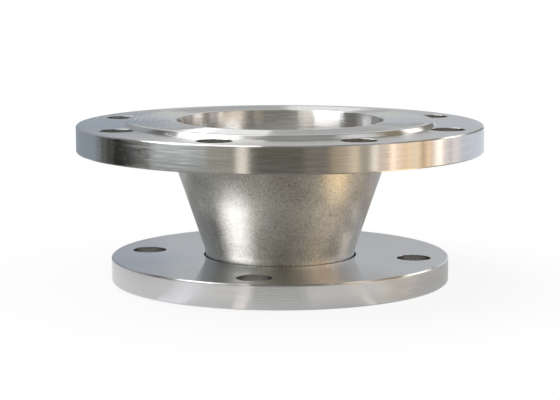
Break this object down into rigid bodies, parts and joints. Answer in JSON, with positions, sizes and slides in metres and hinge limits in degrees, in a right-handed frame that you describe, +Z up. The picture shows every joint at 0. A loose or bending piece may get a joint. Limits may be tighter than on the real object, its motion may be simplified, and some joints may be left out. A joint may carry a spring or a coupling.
{
  "type": "reducing slip on flange",
  "caption": "Short conical reducer between a wide and a smaller drilled plate flange, each with a grooved raised sealing face.",
  "frame": {"origin": "centre of the lower sealing face, on which the piece stands", "axes": "+Z up the common axis of both flanges, +X midway between two holes of the upper flange"},
  "size_m": [0.2286, 0.2286, 0.0926],
  "materials": {
    "turned_steel": "fine turned",
    "blasted_steel": "blasted, dull",
    "weld_metal": "as welded"
  },
  "bodies": {
    "root": {"upper_flange": "turned_steel", "lower_flange": "turned_steel", "reducer_cone": "blasted_steel", "upper_weld": "weld_metal", "lower_weld": "weld_metal"}
  },
  "joints": []
}
